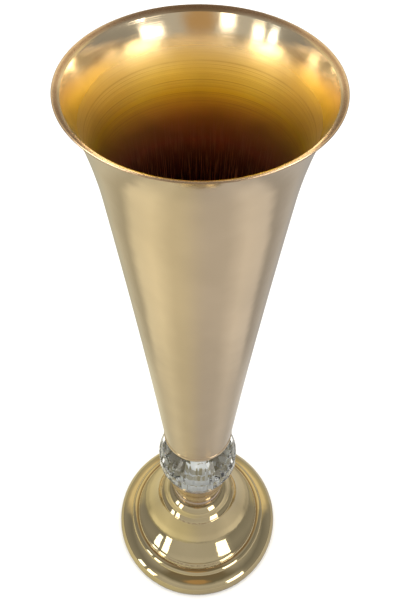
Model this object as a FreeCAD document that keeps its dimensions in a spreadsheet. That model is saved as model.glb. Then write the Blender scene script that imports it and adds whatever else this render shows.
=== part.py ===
import FreeCAD, Part
import math
import os
from FreeCAD import Placement, Rotation, Vector
from Sketcher import Constraint

# A trumpet vase: a flared metal trumpet and a faceted crystal ball on a stepped, spun metal base.
# One threaded rod runs up the middle and clamps the whole stack between two nuts.
# Millimetres, +Z up, origin on the table under the middle of the base.

doc = FreeCAD.newDocument("trumpet_vase")
sheet = doc.addObject("Spreadsheet::Sheet", "sizes")

SIZES = [
    # Spun base, heights measured from the table
    ("base_height", 62.5, "table to the flat top that carries the cup"),
    ("base_sheet", 1.0, "thickness of the base's sheet metal"),
    ("foot_lift", 0.6, "metal rim above the table, so that the felt carries the vase"),
    ("rim_turn", 2.5, "width of the rim that is turned in under the base"),
    ("skirt_radius", 65.6, "widest radius of the base"),
    ("skirt_height", 4.0, "height of that widest point"),
    ("foot_inset", 0.8, "how far the foot draws in below it"),
    ("foot_curve", 10.0, "section radius between the foot and the widest point"),
    ("skirt_inset", 3.4, "how far the skirt rounds in up to the shoulder"),
    ("skirt_rise", 6.8, "rise of the skirt from the widest point to the shoulder"),
    ("skirt_curve", 8.5, "section radius of the skirt"),
    ("shoulder_inset", 6.9, "width of the shoulder"),
    ("shoulder_rise", 3.7, "rise of the shoulder"),
    ("shoulder_curve", 26.3, "section radius of the shoulder"),
    ("outer_bead_inset", 5.1, "width of the outer raised ring"),
    ("outer_bead_rise", 3.1, "rise from its outer edge to its inner edge"),
    ("outer_bead_curve", 5.3, "section radius of that ring"),
    ("inner_bead_inset", 2.5, "width of the inner raised ring"),
    ("inner_bead_rise", 2.6, "rise from its outer edge to its inner edge"),
    ("inner_bead_curve", 6.7, "section radius of that ring"),
    ("cove_hollow_share", 0.17, "depth of the hollow sweep as a share of its width"),
    ("ledge_inset", 0.6, "width of the rounded ledge on top of the sweep"),
    ("ledge_rise", 1.1, "height of that ledge"),
    ("ledge_curve", 1.6, "section radius of that ledge"),
    ("neck_foot_inset", 2.8, "width of the hollow above the ledge"),
    ("neck_foot_rise", 2.9, "height of that hollow"),
    ("neck_foot_curve", 13.0, "section radius of that hollow"),
    ("neck_bend_inset", 0.5, "width of the tight bend into the neck"),
    ("neck_bend_rise", 1.2, "height of that bend"),
    ("neck_bend_curve", 3.0, "section radius of that bend"),
    ("neck_inset", 1.7, "how far the bulging neck draws in"),
    ("neck_rise", 4.0, "height of the neck"),
    ("neck_curve", 10.0, "section radius of the neck"),
    ("dome_inset", 2.6, "width of the domed edge above the neck"),
    ("dome_rise", 2.7, "height of that edge"),
    ("dome_curve", 14.0, "section radius of that edge"),
    ("dome_lip_inset", 1.8, "width of the last rounding into the flat top"),
    ("dome_lip_rise", 1.0, "height of that rounding"),
    ("dome_lip_curve", 5.0, "section radius of that rounding"),
    ("plateau_radius", 19.3, "radius of the flat top"),
    # Cup that carries the ball
    ("cup_height", 32.0, "flat top of the base to the cup's rim"),
    ("cup_foot_radius", 19.4, "radius over the cup's rolled foot"),
    ("cup_rim_radius", 24.4, "radius of the cup's rim"),
    ("cup_bead", 2.4, "section radius of the cup's rolled foot"),
    ("cup_sheet", 1.0, "thickness of the cup's sheet metal"),
    ("bead_turn", 38.0, "degrees past level at which a rolled foot meets its wall"),
    # Crystal ball
    ("ball_radius", 30.0, "radius over the facets' corners"),
    ("ball_flat_height", 28.2, "middle of the ball to each ground flat"),
    ("facets_around", 24.0, "facets in each row"),
    ("facet_rows", 7.0, "rows of facets between the two flats"),
    ("facet_step", 18.0, "degrees from one row of facets to the next"),
    ("bore_gap", 1.0, "clearance of the rod in the ball's bore"),
    ("seat_gap", 0.15, "clearance between the ball and the metal and rubber that hold it"),
    # Rubber cushion inside the cup, under the ball
    ("cushion_inset", 3.0, "cup's inner wall to the cushion's bore"),
    ("cushion_depth", 2.2, "height of the cushion"),
    ("cushion_gap", 0.2, "clearance between the cushion and the cup's wall"),
    # Clear pad between the ball and the trumpet
    ("pad_radius", 11.0, "radius of the pad"),
    ("pad_depth", 3.0, "thickness of the pad"),
    # Trumpet, heights measured from its underside
    ("trumpet_height", 315.8, "underside of the trumpet to the edge of its lip"),
    ("trumpet_sheet", 1.0, "thickness of the trumpet's sheet metal"),
    ("trumpet_foot_radius", 25.1, "radius over the trumpet's rolled foot"),
    ("trumpet_bead", 2.4, "section radius of the trumpet's rolled foot"),
    ("mouth_radius", 68.6, "radius over the lip"),
    ("lip_width", 3.0, "width of the turned-out lip"),
    ("lip_rise", 2.2, "rise of the lip over that width"),
    ("bell_depth", 22.4, "height of the bell below the lip"),
    ("bell_spread", 8.0, "radius that the bell gains"),
    ("bell_curve", 110.0, "section radius of the bell"),
    ("flare_depth", 38.0, "height of the flare below the bell"),
    ("flare_spread", 6.8, "radius that the flare gains"),
    ("flare_curve", 324.0, "section radius of the flare"),
    ("wall_curve", 9800.0, "section radius of the long, nearly straight wall"),
    # Tie rod and the hardware on it
    ("rod_radius", 4.0, "radius of the threaded rod"),
    ("hole_gap", 0.3, "clearance of the rod in sheet metal, washers and pads"),
    ("thread_gap", 0.1, "clearance of the rod in a nut's bore"),
    ("rod_end", 2.5, "rod that stands past each nut"),
    ("nut_flats", 13.0, "nut across its flats"),
    ("nut_depth", 6.5, "height of a nut"),
    ("nut_bevel", 0.8, "bevel of a nut's corners, measured on its radius"),
    ("seal_radius", 10.0, "radius of the rubber seal inside the trumpet"),
    ("seal_depth", 1.5, "thickness of that seal"),
    ("washer_radius", 8.0, "radius of the washer inside the trumpet"),
    ("washer_depth", 1.6, "thickness of that washer"),
    ("wide_washer_radius", 15.0, "radius of the wide washer under the base's flat top"),
    ("wide_washer_depth", 1.5, "thickness of that washer"),
    ("spring_washer_radius", 7.2, "radius of the split spring washer"),
    ("spring_washer_depth", 2.0, "thickness of the split spring washer"),
    ("spring_washer_split", 1.0, "width of its split"),
    # Closing board and felt in the underside
    ("felt_depth", 1.5, "thickness of the felt"),
    ("board_depth", 3.0, "thickness of the board"),
    ("board_gap", 0.2, "clearance of the board and the felt in the turned rim"),
]

for row, (alias, number, note) in enumerate(SIZES, start=1):
    sheet.set(f"A{row}", alias)
    sheet.set(f"B{row}", str(number))
    sheet.set(f"C{row}", note)
    sheet.setAlias(f"B{row}", alias)
doc.recompute()


def value(expression):
    """The number that an expression over the sheet gives."""
    return float(sheet.evalExpression(expression))


# Places that follow from the sizes, from the bottom of the stack to its top.
FOOT_RADIUS = "(sizes.skirt_radius - sizes.foot_inset)"
OPENING_RADIUS = f"({FOOT_RADIUS} - sizes.rim_turn)"
CUP_TOP = "(sizes.base_height + sizes.cup_height)"
CUP_RIM_BORE = "(sizes.cup_rim_radius - sizes.cup_sheet)"
BALL_REACH = "(sizes.ball_radius + sizes.seat_gap)"
BALL_MIDDLE = f"({CUP_TOP} + sqrt({BALL_REACH}^2 - {CUP_RIM_BORE}^2))"
BALL_TOP = f"({BALL_MIDDLE} + sizes.ball_flat_height)"
TRUMPET_FOOT = f"({BALL_TOP} + sizes.pad_depth)"
SEAL_FOOT = f"({TRUMPET_FOOT} + sizes.trumpet_sheet)"
WASHER_FOOT = f"({SEAL_FOOT} + sizes.seal_depth)"
TOP_NUT_FOOT = f"({WASHER_FOOT} + sizes.washer_depth)"
ROD_TOP = f"({TOP_NUT_FOOT} + sizes.nut_depth + sizes.rod_end)"
WIDE_WASHER_FOOT = "(sizes.base_height - sizes.base_sheet - sizes.wide_washer_depth)"
SPRING_WASHER_FOOT = f"({WIDE_WASHER_FOOT} - sizes.spring_washer_depth)"
BASE_NUT_FOOT = f"({SPRING_WASHER_FOOT} - sizes.nut_depth)"
ROD_FOOT = f"({BASE_NUT_FOOT} - sizes.rod_end)"
ROD_HOLE = "(sizes.rod_radius + sizes.hole_gap)"


def edge_between(start, end, bend, curve):
    """A line, or the shorter arc of the given radius that bends out to the right (+1) or left (-1)."""
    if not bend:
        return Part.LineSegment(start, end)
    chord = end - start
    rightward = Vector(chord.y, -chord.x, 0).normalize()
    bulge = curve - math.sqrt(curve ** 2 - (chord.Length / 2) ** 2)
    return Part.Arc(start, (start + end) / 2 + rightward * bend * bulge, end)


def outline(name, corners, edges):
    """A half section: corners as (radius, height), edges as None or (bend, section radius)."""
    sketch = doc.addObject("Sketcher::SketchObject", name)
    sketch.Placement = Placement(Vector(), Rotation(Vector(1, 0, 0), 90))
    points = [Vector(value(radius), value(height), 0) for radius, height in corners]
    first_end = []
    for start, end, edge in zip(points, points[1:], edges):
        bend, curve = edge or (0, "0")
        sketch.addGeometry(edge_between(start, end, bend, value(curve)))
        first_end.append(2 if bend < 0 else 1)

    def bound(label, expression, *constraint):
        number = sketch.addConstraint(Constraint(*constraint, value(expression)))
        sketch.renameConstraint(number, label)
        sketch.setExpression(f"Constraints.{label}", expression)

    for index, (radius, height) in enumerate(corners):
        last = index == len(edges)
        edge_index = index - 1 if last else index
        end = 3 - first_end[edge_index] if last else first_end[edge_index]
        if index and not last:
            sketch.addConstraint(Constraint("Coincident", index - 1, 3 - first_end[index - 1], index, end))
        bound(f"radius_{index}", radius, "DistanceX", -1, 1, edge_index, end)
        if height == "0":
            sketch.addConstraint(Constraint("PointOnObject", edge_index, end, -1))
        else:
            bound(f"height_{index}", height, "DistanceY", -1, 1, edge_index, end)
    for index, edge in enumerate(edges):
        if edge:
            bound(f"curve_{index}", edge[1], "Radius", index)
    return sketch


def spun(label, corners, edges, sheet_metal, foot="0"):
    """Sheet metal spun round the vase's axis: an outer outline, thickened inwards and revolved."""
    wall = doc.addObject("Part::Offset2D", label + "_section")
    wall.Source = outline(label + "_outline", corners, edges)
    wall.Mode = "Skin"
    wall.Join = "Arc"
    wall.Fill = True
    wall.setExpression("Value", sheet_metal)
    piece = doc.addObject("Part::Revolution", label)
    piece.Source = wall
    piece.Axis = Vector(0, 0, 1)
    piece.Angle = 360
    piece.Solid = True
    piece.setExpression("Placement.Base.z", foot)
    return piece


def cylinder(name, radius, depth, foot):
    solid = doc.addObject("Part::Cylinder", name)
    solid.setExpression("Radius", radius)
    solid.setExpression("Height", depth)
    solid.setExpression("Placement.Base.z", foot)
    return solid


def cut(label, body, tool):
    piece = doc.addObject("Part::Cut", label)
    piece.Base = body
    piece.Tool = tool
    return piece


def ring(label, radius, bore, depth, foot):
    """A flat ring: washers, pads, seals and discs."""
    return cut(label, cylinder(label + "_disc", radius, depth, foot), cylinder(label + "_bore", bore, depth, foot))


def hollow_curve(foot, top, share):
    """Section radius of a hollow arc whose depth is a share of its width."""
    width = f"({foot[0]} - {top[0]})"
    rise = f"({top[1]} - {foot[1]})"
    depth = f"({share} * {width})"
    return f"(({width}^2 + {rise}^2) / (8 * {depth}) + {depth} / 2)"


def base():
    """Stepped base: rim, skirt, shoulder, two raised rings, hollow sweep, ledge, neck and flat top."""
    corners = [
        (OPENING_RADIUS, "sizes.foot_lift"),
        (FOOT_RADIUS, "sizes.foot_lift"),
        ("sizes.skirt_radius", "sizes.skirt_height"),
    ]
    edges = [None, (1, "sizes.foot_curve")]
    for step in ("skirt", "shoulder", "outer_bead", "inner_bead"):
        radius, height = corners[-1]
        corners.append((f"({radius} - sizes.{step}_inset)", f"({height} + sizes.{step}_rise)"))
        edges.append((1, f"sizes.{step}_curve"))
    cove_foot = corners[-1]
    upper = [("sizes.plateau_radius", "sizes.base_height")]
    for step in ("dome_lip", "dome", "neck", "neck_bend", "neck_foot", "ledge"):
        radius, height = upper[-1]
        upper.append((f"({radius} + sizes.{step}_inset)", f"({height} - sizes.{step}_rise)"))
    corners += upper[::-1] + [(ROD_HOLE, "sizes.base_height")]
    edges += [
        (-1, hollow_curve(cove_foot, upper[-1], "sizes.cove_hollow_share")),
        (1, "sizes.ledge_curve"),
        (-1, "sizes.neck_foot_curve"),
        (-1, "sizes.neck_bend_curve"),
        (1, "sizes.neck_curve"),
        (1, "sizes.dome_curve"),
        (1, "sizes.dome_lip_curve"),
        None,
    ]
    return spun("base", corners, edges, "sizes.base_sheet")


def rolled_foot(foot_radius, bead):
    """The corners where a floor meets its rolled foot, and the foot meets the wall."""
    floor_edge = (f"{foot_radius} - {bead}", "0")
    wall_foot = (f"({foot_radius} - {bead} * (1 - cos(sizes.bead_turn)))", f"({bead} * (1 + sin(sizes.bead_turn)))")
    return floor_edge, wall_foot


def ball_cup():
    """Tapered cup with a floor and a rolled foot; its rim holds the ball."""
    floor_edge, wall_foot = rolled_foot("sizes.cup_foot_radius", "sizes.cup_bead")
    corners = [(ROD_HOLE, "0"), floor_edge, wall_foot, ("sizes.cup_rim_radius", "sizes.cup_height")]
    edges = [None, (1, "sizes.cup_bead"), None]
    return spun("ball_cup", corners, edges, "sizes.cup_sheet", "sizes.base_height")


def trumpet():
    """Trumpet with a floor, a rolled foot, a long wall, a flare, a bell and a turned-out lip."""
    lip_radius = "(sizes.mouth_radius - sizes.lip_width)"
    lip_height = "(sizes.trumpet_height - sizes.lip_rise)"
    bell_radius = f"({lip_radius} - sizes.bell_spread)"
    bell_height = f"({lip_height} - sizes.bell_depth)"
    floor_edge, wall_foot = rolled_foot("sizes.trumpet_foot_radius", "sizes.trumpet_bead")
    corners = [
        (ROD_HOLE, "0"),
        floor_edge,
        wall_foot,
        (f"{bell_radius} - sizes.flare_spread", f"{bell_height} - sizes.flare_depth"),
        (bell_radius, bell_height),
        (lip_radius, lip_height),
        ("sizes.mouth_radius", "sizes.trumpet_height"),
    ]
    edges = [
        None,
        (1, "sizes.trumpet_bead"),
        (-1, "sizes.wall_curve"),
        (-1, "sizes.flare_curve"),
        (-1, "sizes.bell_curve"),
        None,
    ]
    return spun("trumpet", corners, edges, "sizes.trumpet_sheet", TRUMPET_FOOT)


def facet_normal(row, step):
    """Outward direction of one facet: rows are staggered by half a facet."""
    rows = round(value("sizes.facet_rows"))
    around = round(value("sizes.facets_around"))
    rise = math.radians((row - (rows - 1) / 2) * value("sizes.facet_step"))
    turn = math.tau * (step + (row % 2) / 2) / around
    return Vector(math.cos(rise) * math.cos(turn), math.cos(rise) * math.sin(turn), math.sin(rise))


def meeting_point(*planes):
    """The point where three planes, each an outward direction and a distance, cross."""
    (first, reach_1), (second, reach_2), (third, reach_3) = planes
    crossing = second.cross(third) * reach_1 + third.cross(first) * reach_2 + first.cross(second) * reach_3
    return crossing / first.dot(second.cross(third))


def faceted_ball(reach, flat):
    """A solid whose facets all lie at one distance from its middle, between two level flats."""
    rows = round(value("sizes.facet_rows"))
    around = round(value("sizes.facets_around"))

    def facet(row, step):
        return facet_normal(row, step % around), reach

    def row_edge(row, step, towards):
        """Corners of a facet along its upper (+1) or lower (-1) edge, in order of turn."""
        here, before, after = facet(row, step), facet(row, step - 1), facet(row, step + 1)
        other = row + towards
        if other in (-1, rows):
            level = (Vector(0, 0, towards), flat)
            return [meeting_point(before, here, level), meeting_point(here, after, level)]
        left = facet(other, step - 1 + row % 2)
        right = facet(other, step + row % 2)
        return [
            meeting_point(before, here, left),
            meeting_point(here, left, right),
            meeting_point(here, after, right),
        ]

    def flat_face(points):
        return Part.Face(Part.makePolygon(points + points[:1]))

    faces = []
    for row in range(rows):
        for step in range(around):
            faces.append(flat_face(row_edge(row, step, 1) + row_edge(row, step, -1)[::-1]))
    faces.append(flat_face([row_edge(rows - 1, step, 1)[0] for step in range(around)]))
    faces.append(flat_face([row_edge(0, step, -1)[0] for step in range(around)]))
    shell = Part.makeShell(faces)
    shell.sewShape()
    return Part.makeSolid(shell)


def crystal_ball():
    """Faceted ball with ground flats above and below and a bore for the rod."""
    flat = value("sizes.ball_flat_height")
    unit = faceted_ball(1, flat / value("sizes.ball_radius"))
    corner_reach = max(vertex.Point.Length for vertex in unit.Vertexes)
    reach = value("sizes.ball_radius") / corner_reach
    blank = doc.addObject("Part::Feature", "ball_blank")
    blank.Shape = faceted_ball(reach, flat)
    blank.setExpression("Placement.Base.z", BALL_MIDDLE)
    bore = cylinder(
        "ball_bore", "sizes.rod_radius + sizes.bore_gap", "2 * sizes.ball_flat_height",
        f"{BALL_MIDDLE} - sizes.ball_flat_height",
    )
    return cut("crystal_ball", blank, bore)


def ball_cushion():
    """Rubber ring between the cup's tapered wall and the underside of the ball."""
    _, (wall_foot_radius, wall_foot_height) = rolled_foot("sizes.cup_foot_radius", "sizes.cup_bead")
    taper = f"(sizes.cup_rim_radius - {wall_foot_radius}) / (sizes.cup_height - {wall_foot_height})"
    bore = f"({CUP_RIM_BORE} - sizes.cushion_inset)"
    foot = f"({BALL_MIDDLE} - sqrt({BALL_REACH}^2 - {bore}^2) - sizes.cushion_depth)"
    radius = f"{CUP_RIM_BORE} - ({CUP_TOP} - {foot}) * {taper} - sizes.cushion_gap"
    return ring("ball_cushion", radius, bore, "sizes.cushion_depth", foot)


def nut(name, foot):
    """Hexagon nut with its corners bevelled top and bottom."""
    corner = "sizes.nut_flats / 2 / cos(30)"
    blank = doc.addObject("Part::Prism", name + "_blank")
    blank.Polygon = 6
    blank.setExpression("Circumradius", corner)
    blank.setExpression("Height", "sizes.nut_depth")
    blank.setExpression("Placement.Base.z", foot)
    round_bar = cylinder(name + "_bar", corner, "sizes.nut_depth", foot)
    bevelled = doc.addObject("Part::Chamfer", name + "_bevel")
    bevelled.Base = round_bar
    bevel = value("sizes.nut_bevel")
    bevelled.Edges = [(1, bevel / 2, bevel), (3, bevel, bevel / 2)]
    turned = doc.addObject("Part::Common", name + "_turned")
    turned.Base = blank
    turned.Tool = bevelled
    return cut(name, turned, cylinder(name + "_bore", "sizes.rod_radius + sizes.thread_gap", "sizes.nut_depth", foot))


def rod_nuts():
    """The two equal nuts that clamp the stack: one inside the trumpet, one under the base's flat top."""
    pair = doc.addObject("Part::Compound", "rod_nuts")
    pair.Links = [nut("top_nut", TOP_NUT_FOOT), nut("base_nut", BASE_NUT_FOOT)]
    return pair


def spring_washer():
    """Split ring under the base nut."""
    depth = "sizes.spring_washer_depth"
    whole = ring("spring_ring", "sizes.spring_washer_radius", ROD_HOLE, depth, SPRING_WASHER_FOOT)
    split = doc.addObject("Part::Box", "spring_split")
    split.setExpression("Length", "sizes.spring_washer_radius")
    split.setExpression("Width", "sizes.spring_washer_split")
    split.setExpression("Height", depth)
    split.setExpression("Placement.Base.y", "-sizes.spring_washer_split / 2")
    split.setExpression("Placement.Base.z", SPRING_WASHER_FOOT)
    return cut("spring_washer", whole, split)


BOARD_RADIUS = f"{OPENING_RADIUS} - sizes.board_gap"
pieces = [
    base(),
    ball_cup(),
    crystal_ball(),
    ball_cushion(),
    ring("ball_pad", "sizes.pad_radius", ROD_HOLE, "sizes.pad_depth", BALL_TOP),
    trumpet(),
    cylinder("tie_rod", "sizes.rod_radius", f"{ROD_TOP} - {ROD_FOOT}", ROD_FOOT),
    rod_nuts(),
    ring("trumpet_seal", "sizes.seal_radius", ROD_HOLE, "sizes.seal_depth", SEAL_FOOT),
    ring("trumpet_washer", "sizes.washer_radius", ROD_HOLE, "sizes.washer_depth", WASHER_FOOT),
    ring("wide_washer", "sizes.wide_washer_radius", ROD_HOLE, "sizes.wide_washer_depth", WIDE_WASHER_FOOT),
    spring_washer(),
    cylinder("base_board", BOARD_RADIUS, "sizes.board_depth", "sizes.felt_depth"),
    cylinder("felt_pad", BOARD_RADIUS, "sizes.felt_depth", "0"),
]
doc.recompute()

for item in doc.Objects:
    if {"Invalid", "Error"} & set(item.State):
        raise RuntimeError(f"{item.Label} failed: {item.State}")
for piece in pieces:
    if piece.Shape.isNull() or not piece.Shape.isValid() or piece.Shape.Volume <= 0:
        raise RuntimeError(f"{piece.Label} has no valid shape")

os.makedirs("parts", exist_ok=True)
for piece in pieces:
    piece.Shape.exportStep(f"parts/{piece.Label}.step")
    box = piece.Shape.BoundBox
    print(
        f"{piece.Label:15s} solids {len(piece.Shape.Solids)} volume {piece.Shape.Volume / 1000:8.2f} cm3"
        f"  radius {box.XMax:6.2f}  height {box.ZMin:7.2f} to {box.ZMax:7.2f}"
    )
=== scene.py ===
import math
import bmesh
import bpy
from mathutils import Matrix, Vector


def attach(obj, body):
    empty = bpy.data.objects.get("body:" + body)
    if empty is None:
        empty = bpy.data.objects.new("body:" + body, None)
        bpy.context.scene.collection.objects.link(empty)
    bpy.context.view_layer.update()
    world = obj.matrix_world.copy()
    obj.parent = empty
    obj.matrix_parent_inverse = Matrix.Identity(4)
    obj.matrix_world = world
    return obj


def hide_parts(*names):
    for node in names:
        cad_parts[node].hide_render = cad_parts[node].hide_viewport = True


# A trumpet vase on a faceted crystal ball and a stepped, spun base, seen from above on a pale table.
# Blender works in metres. The vase's sizes are written in millimetres, and MM turns them into metres.

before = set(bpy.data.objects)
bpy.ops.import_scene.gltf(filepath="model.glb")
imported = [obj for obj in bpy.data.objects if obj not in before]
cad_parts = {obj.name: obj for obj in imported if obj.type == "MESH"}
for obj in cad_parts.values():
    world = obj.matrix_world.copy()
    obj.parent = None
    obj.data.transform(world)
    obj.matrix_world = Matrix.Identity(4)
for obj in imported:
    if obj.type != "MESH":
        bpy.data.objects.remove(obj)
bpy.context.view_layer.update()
MM = 0.001
ROOT = "root"

# Sizes that the pieces share, in millimetres
SHEET = 1.0
ROD_HOLE = 4.3
FOOT_BEAD = 2.4
BASE_HEIGHT = 62.5
CUP_FOOT_RADIUS = 19.4
CUP_RIM_RADIUS = 24.4
CUP_HEIGHT = 32.0
BALL_RADIUS = 30.0
BALL_FLAT = 28.2
BALL_BORE = 5.0
SEAT_GAP = 0.15
PAD_DEPTH = 3.0
TRUMPET_FOOT_RADIUS = 25.1
TRUMPET_HEIGHT = 315.8

CUP_RIM_HEIGHT = BASE_HEIGHT + CUP_HEIGHT
BALL_RISE = math.sqrt((BALL_RADIUS + SEAT_GAP) ** 2 - (CUP_RIM_RADIUS - SHEET) ** 2)
BALL_MIDDLE = CUP_RIM_HEIGHT + BALL_RISE
TRUMPET_FOOT = BALL_MIDDLE + BALL_FLAT + PAD_DEPTH
LIP_HEIGHT = TRUMPET_FOOT + TRUMPET_HEIGHT

# How finely the meshes are divided
AROUND = 256
RIM_STEPS = 6
BORE_SIDES = 64
SHARP_CORNER = math.radians(28)


# Outlines and meshes

def bow(start, end, bend, curve, steps):
    """Points on the shorter arc from start to end, bending out (+1) or in (-1); start is left out."""
    (x0, y0), (x1, y1) = start, end
    chord = math.hypot(x1 - x0, y1 - y0)
    half = math.asin(chord / (2 * curve))
    along = (Vector((x1, y1)) - Vector((x0, y0))) / chord
    rightward = Vector((along.y, -along.x)) * bend
    middle = (Vector(start) + Vector(end)) / 2 - rightward * curve * math.cos(half)
    points = []
    for step in range(1, steps + 1):
        turn = half * (2 * step / steps - 1)
        points.append(tuple(middle + rightward * curve * math.cos(turn) + along * curve * math.sin(turn)))
    return points


def trace(corners, edges):
    """A dense outline: edges hold None for a straight run or (bend, section radius, steps)."""
    points = [corners[0]]
    for start, end, edge in zip(corners, corners[1:], edges):
        points += bow(start, end, *edge) if edge else [end]
    return points


def one_sheet_in(outline):
    """The same outline moved one sheet thickness to its left."""
    least_lean = 0.6
    inner = []
    for index, point in enumerate(outline):
        before = Vector(outline[max(index - 1, 0)])
        after = Vector(outline[min(index + 1, len(outline) - 1)])
        here = Vector(point)
        first = (here - before).normalized() if index else (after - here).normalized()
        second = (after - here).normalized() if index < len(outline) - 1 else first
        along = (first + second).normalized()
        leftward = Vector((-along.y, along.x))
        lean = leftward.dot(Vector((-first.y, first.x)))
        inner.append(here + leftward * SHEET / max(least_lean, lean))
    return inner


def circle(mesh, radius, height, sides):
    """Corners round the axis, at a radius and a height in millimetres."""
    corners = []
    for step in range(sides):
        turn = math.tau * step / sides
        place = (radius * math.cos(turn) * MM, radius * math.sin(turn) * MM, height * MM)
        corners.append(mesh.verts.new(place))
    return corners


def spun_sheet(name, outer):
    """A closed piece of sheet turned round the axis from its outer outline, with a rounded far edge."""
    inner = one_sheet_in(outer)
    rim_middle = (Vector(outer[-1]) + inner[-1]) / 2
    rim_arm = Vector(outer[-1]) - rim_middle
    rim = []
    for step in range(1, RIM_STEPS):
        rim.append(rim_middle + Matrix.Rotation(math.pi * step / RIM_STEPS, 2) @ rim_arm)
    section = [Vector(point) for point in outer] + rim + inner[::-1]
    mesh = bmesh.new()
    rings = [circle(mesh, radius, height, AROUND) for radius, height in section]
    for lower, upper in zip(rings, rings[1:] + rings[:1]):
        for step in range(AROUND):
            after = (step + 1) % AROUND
            mesh.faces.new((lower[step], lower[after], upper[after], upper[step]))
    return piece_from(mesh, name)


def object_from(mesh, name):
    """Turns a bmesh into an object of the scene."""
    data = bpy.data.meshes.new(name)
    mesh.to_mesh(data)
    mesh.free()
    made = bpy.data.objects.new(name, data)
    bpy.context.scene.collection.objects.link(made)
    return made


def piece_from(mesh, name, smooth=True):
    """Turns a bmesh into a piece that rides on the vase."""
    bmesh.ops.recalc_face_normals(mesh, faces=mesh.faces)
    piece = object_from(mesh, name)
    if smooth:
        piece.data.shade_smooth()
        piece.data.set_sharp_from_angle(angle=SHARP_CORNER)
    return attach(piece, ROOT)


# Node trees

class Wire:
    """A socket in a node tree; arithmetic on it adds Math nodes."""

    def __init__(self, tree, socket=None):
        self.tree = tree
        self.socket = socket

    def make(self, kind, settings=None, sockets=None, output=0):
        """Any node: its type, its settings, and the values or wires of its sockets."""
        node = self.tree.nodes.new(kind)
        for key, setting in (settings or {}).items():
            if key == "stops":
                fill_ramp(node.color_ramp, setting)
            else:
                setattr(node, key, setting)
        for key, entry in (sockets or {}).items():
            if isinstance(entry, Wire):
                self.tree.links.new(entry.socket, node.inputs[key])
            else:
                node.inputs[key].default_value = entry
        return Wire(self.tree, node.outputs[output] if node.outputs else None)

    def math(self, operation, *others):
        """One Math node on this value and the others."""
        inputs = dict(enumerate((self,) + others))
        return self.make("ShaderNodeMath", {"operation": operation}, inputs)

    def __add__(self, other):
        return self.math("ADD", other)

    __radd__ = __add__

    def __mul__(self, other):
        return self.math("MULTIPLY", other)

    __rmul__ = __mul__

    def __sub__(self, other):
        return self.math("SUBTRACT", other)

    def __rsub__(self, other):
        return (self * -1) + other

    def between(self, low, high, at_low=0.0, at_high=1.0):
        """Runs smoothly from one value to another while this one goes from low to high."""
        settings = {"interpolation_type": "SMOOTHSTEP", "clamp": True}
        return self.make("ShaderNodeMapRange", settings, {0: self, 1: low, 2: high, 3: at_low, 4: at_high})

    def split(self):
        """The x, y and z of this vector."""
        return [self.make("ShaderNodeSeparateXYZ", sockets={0: self}, output=axis) for axis in range(3)]

    def levelled(self):
        """This vector with its z taken out."""
        return self.make("ShaderNodeVectorMath", {"operation": "MULTIPLY"}, {0: self, 1: (1, 1, 0)})


def fill_ramp(ramp, stops):
    """Stops as (place, colour); a ramp starts with two."""
    while len(ramp.elements) < len(stops):
        ramp.elements.new(1)
    for element, (place, colour) in zip(ramp.elements, stops):
        element.position = place
        element.color = (*colour, 1)


def ramp_along(place, stops):
    """A colour along a place from 0 to 1: stops as (place, grey or colour)."""
    def colour(tone):
        return tone if isinstance(tone, tuple) else (tone, tone, tone)
    settings = {"stops": [(at, colour(tone)) for at, tone in stops]}
    return place.make("ShaderNodeValToRGB", settings, {0: place})


def blend_colours(factor, first, second):
    """A colour that goes from the first to the second as factor goes from 0 to 1."""
    def full(colour):
        return colour if isinstance(colour, Wire) else (*colour, 1)
    sockets = {0: factor, 6: full(first), 7: full(second)}
    return factor.make("ShaderNodeMix", {"data_type": "RGBA"}, sockets, output=2)


def tinted(colour, tint):
    """A colour times a tint."""
    settings = {"data_type": "RGBA", "blend_type": "MULTIPLY"}
    return colour.make("ShaderNodeMix", settings, {0: 1.0, 6: colour, 7: (*tint, 1)}, output=2)


def start_material(name):
    """A new material: its empty tree as a wire, and the material."""
    material = bpy.data.materials.new(name)
    material.use_nodes = True
    material.node_tree.nodes.clear()
    return Wire(material.node_tree), material


def principled(tree, sockets):
    """One shader for every solid surface of the vase and the table."""
    return tree.make("ShaderNodeBsdfPrincipled", sockets=sockets)


def finished(tree, material, shader):
    """The material with its shader on the output."""
    tree.make("ShaderNodeOutputMaterial", sockets={"Surface": shader})
    return material


def places(tree):
    """Height, distance from the axis, turn from straight behind, and the point itself."""
    point = tree.make("ShaderNodeTexCoord", output="Object")
    sockets = {0: point.levelled()}
    distance = tree.make("ShaderNodeVectorMath", {"operation": "LENGTH"}, sockets, output="Value")
    x, y, height = point.split()
    return height, distance, x.math("ARCTAN2", y), point


def flat_noise(across, along, detail):
    """Noise over two values, round 0.5."""
    grid = across.make("ShaderNodeCombineXYZ", sockets={0: across, 1: along, 2: 0.0})
    sockets = {"Vector": grid, "Scale": 1.0, "Detail": detail}
    return grid.make("ShaderNodeTexNoise", {"noise_dimensions": "2D"}, sockets)


def patches(point, size, detail=2.0):
    """Uneven variation over the surface in patches of a size in millimetres, round 0.5."""
    sockets = {"Vector": point, "Scale": 1 / (size * MM), "Detail": detail}
    return point.make("ShaderNodeTexNoise", sockets=sockets)


def bumps(height, strength, distance, under=None):
    """A bump from a height; the distance is in millimetres, and another bump may lie under it."""
    sockets = {"Strength": strength, "Distance": distance * MM, "Height": height}
    if under:
        sockets["Normal"] = under
    return height.make("ShaderNodeBump", sockets=sockets)


# Metals

# Spin lines in a metre
FINE_LINES = 2500.0
COARSE_LINES = 1500.0

# Sizes on the plate, in millimetres
LINE_DEPTH = 0.02
PLATE_PATCH = 30.0
WEAR_GRAIN = 0.9

# The colour left where the plate has dulled, and the roughness that wear adds or that a surface has
DULLED = 0.93
WEAR_ROUGHNESS = 0.2
OUTSIDE_ROUGHNESS = 0.14
TARNISH_ROUGHNESS = 0.36
BELL_ROUGHNESS = 0.10

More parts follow.
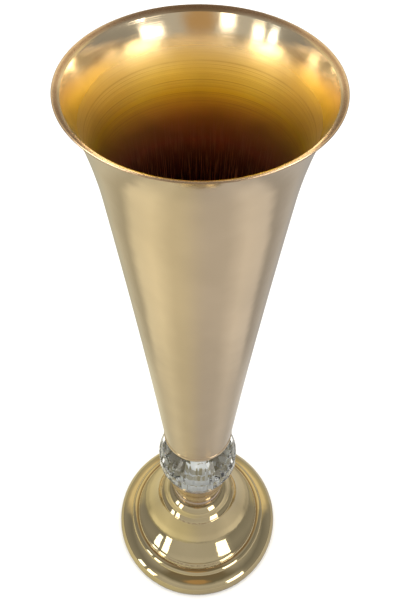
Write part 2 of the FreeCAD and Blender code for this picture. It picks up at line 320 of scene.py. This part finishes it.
BASE_GOLD = (0.76, 0.62, 0.36)
CUP_GOLD = (0.74, 0.63, 0.53)
CHAMPAGNE = (0.78, 0.62, 0.43)
DULL_CHAMPAGNE = (0.73, 0.58, 0.40)
# Brown for rubbed specks, and for bands of painted shade and reflection on the rolled feet
WORN_AND_SHADED_BRASS = (0.34, 0.20, 0.11)
COPPER_STREAK = (0.95, 0.55, 0.35)
RING_BROWN = (0.36, 0.20, 0.05)

# Heights between which the inside of the trumpet changes
DEPTH_SHADE_REACH = (350 * MM, 450 * MM)
STREAKS_END = (360 * MM, 415 * MM)
RINGS_BEGIN = (395 * MM, 420 * MM)
RINGS_END = (430 * MM, 448 * MM)
POLISH_BEGINS = (434 * MM, 456 * MM)

# Painted shade inside the trumpet, darker and warmer downwards: from the dark bottom (0) up to the plate
# near the lip (1)
DEPTH_SHADE_RAMP = [
    (0.0, (0.15, 0.05, 0.06)), (0.3, (0.80, 0.35, 0.22)), (0.5, (0.80, 0.52, 0.17)),
    (0.75, (0.95, 0.82, 0.14)), (0.88, (0.96, 0.82, 0.32)), (0.98, (0.88, 0.72, 0.48)),
]


def spin_lines(height, distance, fineness):
    """Fine rings left by the spinning tool, round 0.5."""
    return flat_noise(height * fineness, distance * fineness, 3.0)


def unevenness(cloud, lines):
    """What slow dulling and spin lines add to the roughness."""
    return (cloud - 0.5) * 0.06 + (lines - 0.5) * 0.05


def edge_wear_and_shade(height, point, edges, even):
    """Rubbed specks along edges at (height, reach) in millimetres; even is the darkening between the
    specks, and a high even makes a solid band, which paints shade and reflection on the rolled feet.
    """
    near = 0.0
    for place, reach in edges:
        away = (height - place * MM).math("ABSOLUTE")
        near = away.between(0.0, reach * MM, 1.0, 0.0) + near
    specks = patches(point, WEAR_GRAIN, detail=3.0).between(0.42, 0.62, even, 1.0)
    return (near * specks).math("MINIMUM", 1.0)


def plated_metal(name, gold, edges, roughness, even=0.0):
    """Polished plate on spun sheet: spin lines, slow dulling, shallow dents, rubbed edges and bands of
    painted shade and reflection.
    """
    tree, material = start_material(name)
    height, distance, _, point = places(tree)
    lines = spin_lines(height, distance, FINE_LINES)
    cloud = patches(point, PLATE_PATCH)
    dull_gold = [channel * DULLED for channel in gold]
    plate = blend_colours(cloud.between(0.3, 0.7), gold, dull_gold)
    worn_and_shaded = edge_wear_and_shade(height, point, edges, even)
    fine = bumps(lines, 0.25, LINE_DEPTH)
    dents = patches(point, 12.0)
    return finished(tree, material, principled(tree, {
        "Base Color": blend_colours(worn_and_shaded * 0.7, plate, WORN_AND_SHADED_BRASS),
        "Metallic": 1.0,
        "Roughness": unevenness(cloud, lines) + roughness + worn_and_shaded * WEAR_ROUGHNESS,
        "Normal": bumps(dents, 0.5, 0.3, fine),
    }))


def inside_mask(tree):
    """1 where the surface faces the axis, 0 where it faces out."""
    point = tree.make("ShaderNodeNewGeometry", output="Position")
    normal = tree.make("ShaderNodeNewGeometry", output="Normal")
    outward = tree.make("ShaderNodeVectorMath", {"operation": "NORMALIZE"}, {0: point.levelled()})
    sockets = {0: outward, 1: normal}
    facing = tree.make("ShaderNodeVectorMath", {"operation": "DOT_PRODUCT"}, sockets, output="Value")
    return facing.between(-0.02, 0.02, 1.0, 0.0)


def inside_colour_with_depth_shade(height, turn, ring_lines, cloud):
    """The colour inside the trumpet: painted shade makes it darker downwards, with brown rings and copper
    streaks.
    """
    colour = ramp_along(height.between(*DEPTH_SHADE_REACH), DEPTH_SHADE_RAMP)
    faint = cloud.between(0.35, 0.65, 0.5, 1.5)
    ringed = blend_colours(ring_lines * faint, colour, RING_BROWN)
    streaks = flat_noise(turn * 80.0, height * 45.0, 4.0).between(0.48, 0.68)
    low_down = height.between(*STREAKS_END, 1.0, 0.0)
    return blend_colours(streaks * low_down, ringed, COPPER_STREAK)


def trumpet_metal():
    """Champagne plate outside; inside it turns yellow, then coppery and dull towards the bottom, where
    painted shade darkens it.
    """
    tree, material = start_material("champagne gold")
    height, distance, turn, point = places(tree)
    inside = inside_mask(tree)
    lines = spin_lines(height, distance, FINE_LINES)
    cloud = patches(point, PLATE_PATCH)
    rings = spin_lines(height, distance, COARSE_LINES)
    ring_zone = height.between(*RINGS_BEGIN) * height.between(*RINGS_END, 1.0, 0.0) * inside
    # The inside colour carries painted shade that darkens it towards the bottom
    within = inside_colour_with_depth_shade(height, turn, (0.52 - rings) * ring_zone, cloud)
    plate = blend_colours(cloud.between(0.3, 0.7), CHAMPAGNE, DULL_CHAMPAGNE)
    # A brown band along the lip, and on the rolled foot a brown band of painted reflection
    worn_and_shaded = edge_wear_and_shade(height, point, [(LIP_HEIGHT - 0.1, 1.7), (TRUMPET_FOOT + 1.0, 1.2)], even=0.85)
    rough_within = height.between(*POLISH_BEGINS, TARNISH_ROUGHNESS, BELL_ROUGHNESS)
    rough = inside * rough_within + (1.0 - inside) * OUTSIDE_ROUGHNESS + unevenness(cloud, lines)
    deeper_within = inside * 3.0 + 1.0
    fine = bumps(lines * deeper_within, 0.25, LINE_DEPTH)
    dents = patches(point, 22.0)
    return finished(tree, material, principled(tree, {
        "Base Color": blend_colours(worn_and_shaded * 0.95, blend_colours(inside, plate, within), WORN_AND_SHADED_BRASS),
        "Metallic": 1.0,
        "Roughness": rough + worn_and_shaded * WEAR_ROUGHNESS,
        "Normal": bumps(dents + rings * ring_zone * 0.08, 0.5, 0.6, fine),
    }))


# Crystal, and what shows through it

CRYSTAL_IOR = 1.53
CRYSTAL = (0.985, 0.98, 0.92)
MILKY = (0.88, 0.92, 0.97)
MILKY_SHADE = (0.32, 0.28, 0.16)
LINING_SHADE = (0.38, 0.33, 0.19)
LINING_GLINT = (0.92, 0.95, 0.96)


def cut_crystal():
    """Clear crystal with a trace of haze."""
    tree, material = start_material("cut crystal")
    _, _, _, point = places(tree)
    haze = patches(point, 8.0)
    return finished(tree, material, principled(tree, {
        "Base Color": (*CRYSTAL, 1),
        "Roughness": haze.between(0.2, 0.8, 0.0, 0.02),
        "IOR": CRYSTAL_IOR,
        "Transmission Weight": 1.0,
        "Normal": bumps(haze, 0.05, 0.1),
    }))


def glints(turn, height, around, upward):
    """Light and dark patches that the facets throw on what lies behind them, from 0 to 1."""
    cells = turn.make("ShaderNodeCombineXYZ", sockets={0: turn * around, 1: height * upward, 2: 0.0})
    sockets = {"Vector": cells, "Scale": 1.0, "Randomness": 0.55}
    return cells.make("ShaderNodeTexVoronoi", {"voronoi_dimensions": "2D"}, sockets, output="Color")


def cup_lining():
    """The polished inside of the cup, with painted patches of light and shade such as the facets of the
    ball throw.
    """
    tree, material = start_material("cup lining")
    height, _, turn, point = places(tree)
    lit = glints(turn, height, 4.0, 190.0).between(0.4, 0.65)
    haze = patches(point, 3.0)
    return finished(tree, material, principled(tree, {
        "Base Color": blend_colours(lit, LINING_SHADE, LINING_GLINT),
        "Metallic": 0.4,
        "Roughness": haze.between(0.2, 0.8, 0.25, 0.4),
    }))


def ground_crystal():
    """The drilled bore: crystal left matt and milky by the drill, with painted shade in patches such as
    the facets throw.
    """
    tree, material = start_material("ground crystal")
    height, _, turn, point = places(tree)
    haze = patches(point, 4.0)
    rise = height - BALL_MIDDLE * MM
    below_middle = rise.between(-17 * MM, -14 * MM) * rise.between(-7 * MM, -4 * MM, 1.0, 0.0)
    shade = below_middle * glints(turn, height, 1.4, 170.0).between(0.45, 0.6, 1.0, 0.0)
    return finished(tree, material, principled(tree, {
        "Base Color": blend_colours(shade, MILKY, MILKY_SHADE),
        "Roughness": haze.between(0.2, 0.8, 0.4, 0.6),
        "IOR": CRYSTAL_IOR,
    }))


# Finishes for the pieces that keep their CAD shape

def plain_finish(name, first, second, roughness, grain, metallic=0.0, depth=0.1):
    """A finish whose colour, roughness and height vary with one grain; grain and depth in millimetres."""
    tree, material = start_material(name)
    _, _, _, point = places(tree)
    speck = patches(point, grain, detail=4.0)
    return finished(tree, material, principled(tree, {
        "Base Color": blend_colours(speck.between(0.3, 0.7), first, second),
        "Metallic": metallic,
        "Roughness": (speck - 0.5) * 0.1 + roughness,
        "Normal": bumps(speck, 0.4, depth),
    }))


def dress_hardware():
    """Gives the rod, its nuts and washers, the rubber, the pad, the board and the felt their finishes."""
    zinc = plain_finish("zinc plate", (0.78, 0.79, 0.80), (0.68, 0.69, 0.71), 0.25, 4.0, metallic=1.0)
    rubber = plain_finish("black rubber", (0.03, 0.03, 0.03), (0.05, 0.05, 0.05), 0.7, 1.0)
    clear = plain_finish("clear pad", (0.85, 0.87, 0.88), (0.75, 0.78, 0.8), 0.2, 3.0)
    board = plain_finish("pressed board", (0.30, 0.22, 0.15), (0.40, 0.30, 0.21), 0.8, 1.0)
    felt = plain_finish("black felt", (0.03, 0.03, 0.035), (0.07, 0.07, 0.075), 0.95, 0.6, depth=0.4)
    dressed = [
        (zinc, ["tie_rod", "rod_nuts", "trumpet_washer", "wide_washer", "spring_washer"]),
        (rubber, ["trumpet_seal", "ball_cushion"]),
        (clear, ["ball_pad"]),
        (board, ["base_board"]),
        (felt, ["felt_pad"]),
    ]
    for finish, names in dressed:
        for name in names:
            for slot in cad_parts[name].material_slots:
                slot.material = finish


# Spun pieces

def rolled_foot(foot_radius, foot):
    """Where a floor meets its rolled foot, and where that meets the wall."""
    bead_turn = math.radians(38)
    floor_edge = (foot_radius - FOOT_BEAD, foot)
    wall_foot = (
        foot_radius - FOOT_BEAD * (1 - math.cos(bead_turn)),
        foot + FOOT_BEAD * (1 + math.sin(bead_turn)),
    )
    return floor_edge, wall_foot


def make_base():
    """From the turned rim at the table up over the rings and the hollow sweep to the flat top."""
    corners = [
        (62.3, 0.6), (64.8, 0.6), (65.6, 4.0), (62.2, 10.8), (55.3, 14.5), (50.2, 17.6), (47.7, 20.2),
        (29.3, 49.6), (28.7, 50.7), (25.9, 53.6), (25.4, 54.8), (23.7, 58.8), (21.1, 61.5),
        (19.3, BASE_HEIGHT), (ROD_HOLE, BASE_HEIGHT),
    ]
    edges = [
        None, (1, 10.0, 6), (1, 8.5, 24), (1, 26.3, 14), (1, 5.3, 18), (1, 6.7, 12), (-1, 49.6, 40),
        (1, 1.6, 8), (-1, 13.0, 8), (-1, 3.0, 6), (1, 10.0, 10), (1, 14.0, 8), (1, 5.0, 8), None,
    ]
    base = spun_sheet("spun_base", trace(corners, edges))
    worn_and_shaded_edges = [(1.2, 1.4), (19.0, 0.8), (50.7, 0.6), (61.9, 0.6)]
    base.data.materials.append(plated_metal("bright base gold", BASE_GOLD, worn_and_shaded_edges, 0.05))
    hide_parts("base")
    return base


def make_cup():
    """A tapered cup with a rolled foot, lined where its faces look at the axis."""
    floor_edge, wall_foot = rolled_foot(CUP_FOOT_RADIUS, BASE_HEIGHT)
    corners = [(ROD_HOLE, BASE_HEIGHT), floor_edge, wall_foot, (CUP_RIM_RADIUS, CUP_RIM_HEIGHT)]
    cup = spun_sheet("ball_cup_shell", trace(corners, [None, (1, FOOT_BEAD, 20), None]))
    # The band round the rolled foot is painted shade and reflection; the rim gets a brown band too
    worn_and_shaded_edges = [(BASE_HEIGHT + 2.0, 2.8), (CUP_RIM_HEIGHT - 0.2, 0.8)]
    cup.data.materials.append(plated_metal("cup gold", CUP_GOLD, worn_and_shaded_edges, 0.12, even=0.7))
    cup.data.materials.append(cup_lining())
    for face in cup.data.polygons:
        outward = Vector((face.center.x, face.center.y, 0)).dot(face.normal)
        face.material_index = 1 if outward < 0 else 0
    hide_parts("ball_cup")
    return cup


def make_trumpet():
    """A floor with a rolled foot, a long flared wall and a turned-out lip."""
    floor_edge, wall_foot = rolled_foot(TRUMPET_FOOT_RADIUS, TRUMPET_FOOT)
    corners = [
        (ROD_HOLE, TRUMPET_FOOT), floor_edge, wall_foot, (50.8, LIP_HEIGHT - 62.6),
        (57.6, LIP_HEIGHT - 24.6), (65.6, LIP_HEIGHT - 2.2), (68.35, LIP_HEIGHT - 0.18),
    ]
    edges = [None, (1, FOOT_BEAD, 20), (-1, 9800.0, 60), (-1, 324.0, 24), (-1, 110.0, 24), None]
    trumpet = spun_sheet("trumpet_shell", trace(corners, edges))
    trumpet.data.materials.append(trumpet_metal())
    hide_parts("trumpet")
    return trumpet


# Faceted ball

FACETS_AROUND = 24
FACET_ROWS = 7
FACET_STEP = 18
FACET_BEVEL = 0.12


def facet_direction(row, step):
    """Outward direction of one facet; rows are staggered by half a facet."""
    rise = math.radians((row - (FACET_ROWS - 1) / 2) * FACET_STEP)
    turn = math.tau * (step + (row % 2) / 2) / FACETS_AROUND
    return Vector((math.cos(rise) * math.cos(turn), math.cos(rise) * math.sin(turn), math.sin(rise)))


def crossing(first, second, third):
    """The corner of three planes, each given as (direction, distance from the middle)."""
    (n1, d1), (n2, d2), (n3, d3) = first, second, third
    return (n2.cross(n3) * d1 + n3.cross(n1) * d2 + n1.cross(n2) * d3) / n1.dot(n2.cross(n3))


def ball_corners(reach, flat):
    """All corners of a ball whose facets lie at reach and whose two flats lie at flat from its middle."""
    points = []
    for row in range(FACET_ROWS):
        for step in range(FACETS_AROUND):
            here = (facet_direction(row, step), reach)
            after = (facet_direction(row, step + 1), reach)
            if row in (0, FACET_ROWS - 1):
                level = (Vector((0, 0, -1 if row == 0 else 1)), flat)
                points.append(crossing(here, after, level))
            if row + 1 < FACET_ROWS:
                left = (facet_direction(row + 1, step - 1 + row % 2), reach)
                right = (facet_direction(row + 1, step + row % 2), reach)
                points.append(crossing(here, left, right))
                points.append(crossing(here, after, right))
    return points


def cut_bore(mesh, flats):
    """Opens both flats with a round bore."""
    circles = []
    for flat in flats:
        height = flat.calc_center_median().z / MM
        border = list(flat.edges)
        ring = circle(mesh, BALL_BORE, height, BORE_SIDES)
        loop = [mesh.edges.new(pair) for pair in zip(ring, ring[1:] + ring[:1])]
        mesh.faces.remove(flat)
        bmesh.ops.triangle_fill(mesh, use_beauty=True, use_dissolve=False, edges=border + loop)
        circles.append(ring)
    first, second = circles
    for step in range(BORE_SIDES):
        after = (step + 1) % BORE_SIDES
        wall = mesh.faces.new((first[step], first[after], second[after], second[step]))
        wall.material_index = 1


def make_ball():
    """Flat facets between two ground flats, with bevelled edges and a matt bore."""
    unit_reach = max(point.length for point in ball_corners(1, BALL_FLAT / BALL_RADIUS))
    mesh = bmesh.new()
    for point in ball_corners(BALL_RADIUS / unit_reach, BALL_FLAT):
        mesh.verts.new((point + Vector((0, 0, BALL_MIDDLE))) * MM)
    bmesh.ops.convex_hull(mesh, input=mesh.verts)
    bmesh.ops.dissolve_limit(mesh, angle_limit=math.radians(0.5), verts=mesh.verts, edges=mesh.edges)
    cut_bore(mesh, [face for face in mesh.faces if abs(face.normal.z) > 0.99])
    ball = piece_from(mesh, "cut_ball", smooth=False)
    bevel = ball.modifiers.new("ground edges", "BEVEL")
    bevel.width = FACET_BEVEL * MM
    bevel.segments = 2
    bevel.limit_method = "ANGLE"
    bevel.angle_limit = math.radians(6)
    ball.data.materials.append(cut_crystal())
    ball.data.materials.append(ground_crystal())
    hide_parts("crystal_ball")
    return ball


# Camera

IMAGE_WIDTH, IMAGE_HEIGHT = 401, 601
FOCAL_PIXELS = 791.5
AXIS_PIXEL = (199.4, 200.0)
CAMERA_PLACE = Vector((0, -0.2993, 0.6775))
CAMERA_PITCH = math.radians(44.38)
CAMERA_ROLL = math.radians(0.40)


def make_camera():
    """The photograph's viewing angle; the shift is its off-centre crop."""
    data = bpy.data.cameras.new("camera")
    data.lens = FOCAL_PIXELS / IMAGE_HEIGHT * data.sensor_width
    data.shift_x = (IMAGE_WIDTH / 2 - AXIS_PIXEL[0]) / IMAGE_HEIGHT
    data.shift_y = (AXIS_PIXEL[1] - IMAGE_HEIGHT / 2) / IMAGE_HEIGHT
    camera = bpy.data.objects.new("camera", data)
    level = Matrix.Rotation(math.pi / 2 - CAMERA_PITCH, 4, "X")
    roll = Matrix.Rotation(CAMERA_ROLL, 4, "Z")
    camera.matrix_world = Matrix.Translation(CAMERA_PLACE) @ level @ roll
    bpy.context.scene.collection.objects.link(camera)
    bpy.context.scene.camera = camera


# Table and card

CARD_PLACE = (0, -0.55, 0.63)
CARD_SIZE = (0.44, 0.34, 1)
CARD_TILT = math.radians(70)
CARD_BROWN = (0.46, 0.31, 0.16)
PALE_TABLE = (0.95, 0.95, 0.945)

# What the metal mirrors of the table, as greys from straight in front (0) round to straight behind (1);
# the greys are painted shadow and light on the table
NEAR_TABLE = [
    (0.0, 0.355), (0.2, 0.37), (0.35, 0.43), (0.42, 0.41), (0.55, 0.36), (0.72, 0.45), (1.0, 0.45),
]
MIDDLE_TABLE = [
    (0.0, 0.39), (0.2, 0.40), (0.35, 0.52), (0.42, 0.50),
    (0.50, 0.48), (0.57, 0.26), (0.72, 0.36), (1.0, 0.24),
]
FAR_TABLE = [(0.0, 0.26), (0.2, 0.30), (0.35, 0.20), (0.6, 0.20), (0.85, 0.27)]
# Painted warm light on the left of the table
WARM_TINT = (1.20, 1.18, 0.95)


def chalky(tree, colour):
    """A dead matt surface."""
    return principled(tree, {"Base Color": colour, "Roughness": 1.0, "Specular IOR Level": 0.0})


def mirrored_table(tree):
    """The table's tone for the metal: painted shadow and light that change with the distance from the vase
    and round it, warmer on the left.
    """
    _, distance, turn, _ = places(tree)
    aside = 1.0 - turn.math("ABSOLUTE") * (1 / math.pi)
    near = ramp_along(aside, NEAR_TABLE)
    middle = ramp_along(aside, MIDDLE_TABLE)
    far = ramp_along(aside, FAR_TABLE)
    tone = blend_colours(distance.between(0.13, 0.2), near, middle)
    tone = blend_colours(distance.between(0.35, 0.7), tone, far)
    left_side = turn.math("SINE").between(-0.6, 0.3, 1.0, 0.0)
    return blend_colours(left_side, tone, tinted(tone, WARM_TINT))


def make_table():
    """A pale table; the metal mirrors it darker than the camera and the crystal see it."""
    mesh = bmesh.new()
    bmesh.ops.create_circle(mesh, cap_ends=True, radius=4.0, segments=96)
    table = object_from(mesh, "table")
    tree, material = start_material("pale table")
    to_camera = tree.make("ShaderNodeLightPath", output="Is Camera Ray")
    through_glass = tree.make("ShaderNodeLightPath", output="Is Transmission Ray")
    shader = tree.make("ShaderNodeMixShader", sockets={
        0: to_camera.math("MAXIMUM", through_glass),
        1: chalky(tree, mirrored_table(tree)),
        2: chalky(tree, (*PALE_TABLE, 1)),
    })
    table.data.materials.append(finished(tree, material, shader))


def make_brown_card():
    """A brown card behind the camera, for the mouth of the trumpet to mirror; the camera never sees it."""
    mesh = bmesh.new()
    bmesh.ops.create_grid(mesh, x_segments=1, y_segments=1, size=0.5)
    card = object_from(mesh, "brown_card")
    card.location = CARD_PLACE
    card.scale = CARD_SIZE
    card.rotation_euler = (CARD_TILT, 0, 0)
    card.visible_camera = False
    card.visible_diffuse = False
    card.visible_shadow = False
    tree, material = start_material("brown card")
    _, distance, _, _ = places(tree)
    glow = tree.make("ShaderNodeEmission", sockets={"Color": (*CARD_BROWN, 1), "Strength": 1.0})
    clear = tree.make("ShaderNodeBsdfTransparent")
    shader = tree.make("ShaderNodeMixShader", sockets={0: distance.between(0.2, 0.5), 1: glow, 2: clear})
    card.data.materials.append(finished(tree, material, shader))


# Lights

def soft_box(name, turn, rise, distance, width, height, brightness, colour):
    """A soft box seen from the vase at a turn from the front (+ to the right) and a rise, in degrees."""
    data = bpy.data.lights.new(name, "AREA")
    data.shape = "RECTANGLE"
    data.size = width
    data.size_y = height
    data.energy = brightness * math.pi * width * height
    data.color = colour
    lamp = bpy.data.objects.new(name, data)
    lamp.visible_camera = False
    turn = math.radians(turn)
    rise = math.radians(rise)
    across = math.cos(rise)
    place = Vector((math.sin(turn) * across, -math.cos(turn) * across, math.sin(rise))) * distance
    lamp.location = place
    lamp.rotation_euler = (-place).to_track_quat("-Z", "Y").to_euler()
    bpy.context.scene.collection.objects.link(lamp)
    return lamp


def make_ceiling():
    """Wide, even light from above."""
    data = bpy.data.lights.new("soft ceiling", "SUN")
    data.energy = 3.2
    data.angle = math.radians(100)
    ceiling = bpy.data.objects.new("soft ceiling", data)
    ceiling.visible_glossy = False
    bpy.context.scene.collection.objects.link(ceiling)


def make_lights(trumpet):
    """Three soft boxes for the whole vase, four that light only the trumpet, and a soft ceiling."""
    soft_box("right soft box", 42, 17, 1.6, 0.50, 0.70, 3.4, (1.0, 0.97, 0.9))
    soft_box("left soft box", -50, 16, 1.6, 0.25, 0.80, 3.4, (1.0, 0.98, 0.88))
    soft_box("far left soft box", -64, 18, 1.6, 0.22, 0.60, 3.0, (0.85, 0.93, 1.0))
    for_the_mouth = [
        soft_box("high right soft box", 66, 46, 1.6, 0.80, 0.60, 8.0, (1.0, 0.98, 0.95)),
        soft_box("high left soft box", -78, 48, 1.6, 0.80, 0.60, 6.0, (1.0, 0.99, 0.95)),
        soft_box("soft box beside the camera", -23.5, 46, 1.02, 0.16, 0.36, 2.6, (1.0, 0.97, 0.9)),
        soft_box("soft box behind", 180, 60, 1.2, 0.9, 0.7, 0.6, (1.0, 0.99, 0.96)),
    ]
    only_trumpet = bpy.data.collections.new("only the trumpet")
    only_trumpet.objects.link(trumpet)
    for lamp in for_the_mouth:
        lamp.light_linking.receiver_collection = only_trumpet
    make_ceiling()


# Room

PALE_BACKDROP = (1.0, 1.0, 0.995)
OVERHEAD = (0.22, 0.15, 0.09)

# What the metal mirrors of the room, as (degrees above the table, grey or colour)
FRONT = [
    (-90, 0.5), (24, 0.49), (32, 0.55), (37, 0.52), (46, (0.19, 0.18, 0.15)), (65, (0.20, 0.17, 0.13)),
    (90, OVERHEAD),
]
SIDE = [(-5, 0.24), (15, 0.32), (40, 0.22), (60, 0.40), (90, OVERHEAD)]
CORNER = [
    (-5, 0.36), (5, (0.47, 0.46, 0.37)), (15, (0.53, 0.48, 0.35)), (24, (0.88, 0.78, 0.55)),
    (45, (0.84, 0.74, 0.50)), (70, OVERHEAD),
]
BACK = [(0, (0.40, 0.37, 0.31)), (20, (0.34, 0.28, 0.22)), (45, (0.36, 0.30, 0.24)), (80, OVERHEAD)]

# The parts that follow the front on both sides, and where each begins, in degrees round from the front
ROUND_THE_ROOM = [((38.0, 62.0), SIDE), ((112.0, 126.0), CORNER), ((150.0, 168.0), BACK)]


def by_rise(rise, stops):
    """A ramp over the rise in degrees."""
    return ramp_along((rise + 90.0) * (1 / 180), [((degrees + 90) / 180, tone) for degrees, tone in stops])


def make_world():
    """The room that the metal mirrors: pale in front and in the far corners, darker at the sides."""
    world = bpy.data.worlds.new("room")
    world.use_nodes = True
    world.node_tree.nodes.clear()
    tree = Wire(world.node_tree)
    x, y, z = tree.make("ShaderNodeTexCoord", output="Generated").split()
    rise = z.math("ARCSINE") * (180 / math.pi)
    turn = x.math("ARCTAN2", y * -1.0).math("ABSOLUTE") * (180 / math.pi)
    around = by_rise(rise, FRONT)
    for passage, stops in ROUND_THE_ROOM:
        around = blend_colours(turn.between(*passage), around, by_rise(rise, stops))
    to_camera = tree.make("ShaderNodeLightPath", output="Is Camera Ray")
    around = blend_colours(to_camera, around, PALE_BACKDROP)
    background = tree.make("ShaderNodeBackground", sockets={"Color": around, "Strength": 1.0})
    tree.make("ShaderNodeOutputWorld", sockets={"Surface": background})
    bpy.context.scene.world = world


make_base()
make_cup()
make_ball()
trumpet = make_trumpet()
dress_hardware()
make_table()
make_brown_card()
make_lights(trumpet)
make_world()
make_camera()
bpy.context.scene.view_settings.view_transform = "Standard"

bpy.context.view_layer.update()
